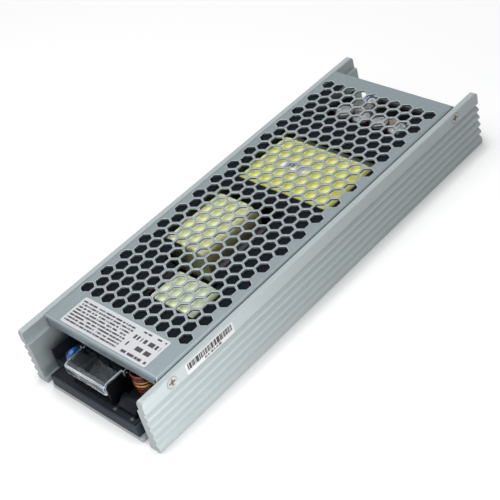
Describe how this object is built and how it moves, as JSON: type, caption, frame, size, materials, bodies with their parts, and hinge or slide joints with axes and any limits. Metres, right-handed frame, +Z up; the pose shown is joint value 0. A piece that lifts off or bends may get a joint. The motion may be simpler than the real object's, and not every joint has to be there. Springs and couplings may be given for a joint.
{
  "type": "enclosed power supply",
  "caption": "Slim enclosed power supply: grooved aluminium channel, honeycomb steel cover, screw terminals in an open bay at each end and a clear flip cover on the input side.",
  "frame": {"origin": "middle of the underside of the channel", "axes": "+X across the case, +Y along it from the input end to the output end, +Z up from the underside to the cover"},
  "size_m": [0.081, 0.232, 0.031],
  "materials": {
    "case_aluminium": "satin",
    "cover_steel": "zinc plated",
    "screw_steel": "bright",
    "film": "smooth",
    "tray": "satin",
    "board": "lacquered",
    "post_brass": "plain",
    "black_plastic": "moulded",
    "contact_plate": "tinned",
    "clear_plastic": "clear",
    "blue_resin": "dipped",
    "ferrite": "sintered",
    "copper_wire": "enamelled",
    "grey_plastic": "moulded",
    "ceramic": "glazed",
    "yellow_tape": "film tape",
    "capacitor_sleeve": "shrink sleeve",
    "silicone": "cured",
    "white_plastic": "moulded",
    "lamp": "tinted"
  },
  "bodies": {
    "case": {"chassis": "case_aluminium", "top_cover": "cover_steel", "cover_screws": "screw_steel", "insulating_film": "film", "insulating_tray": "tray", "bay_insulator": "tray", "insulator_rivets": "grey_plastic", "circuit_board": "board", "board_posts": "post_brass", "board_screws": "screw_steel", "input_terminal_block": "black_plastic", "input_terminal_plates": "contact_plate", "input_terminal_clamps": "screw_steel", "input_terminal_screws": "screw_steel", "output_terminal_block": "black_plastic", "output_terminal_plates": "contact_plate", "output_terminal_clamps": "screw_steel", "output_terminal_screws": "screw_steel", "disc_capacitor": "blue_resin", "disc_capacitor_leads": "screw_steel", "input_choke_core": "ferrite", "input_choke_winding": "copper_wire", "filter_capacitor": "grey_plastic", "input_fuse": "ceramic", "line_choke_core": "ferrite", "line_choke_windings": "copper_wire", "bridge_rectifier": "black_plastic", "front_inductor": "yellow_tape", "front_inductor_base": "black_plastic", "boost_choke": "yellow_tape", "boost_choke_base": "black_plastic", "main_transformer": "yellow_tape", "main_transformer_base": "black_plastic", "bulk_capacitors": "capacitor_sleeve", "resonant_capacitors": "grey_plastic", "boost_heat_sink": "case_aluminium", "boost_transistors": "black_plastic", "rectifier_heat_sink": "case_aluminium", "rectifier_transistors": "black_plastic", "output_capacitors": "capacitor_sleeve", "output_choke_cores": "ferrite", "output_choke_windings": "copper_wire", "output_filter_capacitors": "grey_plastic", "silicone_dabs": "silicone", "signal_connector": "white_plastic", "trimmer_body": "blue_resin", "indicator_lamp": "lamp"},
    "flip_cover": {"input_terminal_cover": "clear_plastic"},
    "trimmer_knob": {"trimmer_rotor": "white_plastic"}
  },
  "joints": [
    {"name": "flip_cover_hinge", "type": "hinge", "parent": "case", "child": "flip_cover", "pos_m": [-0.002, -0.1011, 0.0188], "axis": [-1, 0, 0], "range_deg": [0, 45]},
    {"name": "trimmer_turn", "type": "hinge", "parent": "case", "child": "trimmer_knob", "pos_m": [-0.021, 0.1075, 0.0131], "axis": [0, 0, 1], "range_deg": [-135, 135]}
  ]
}
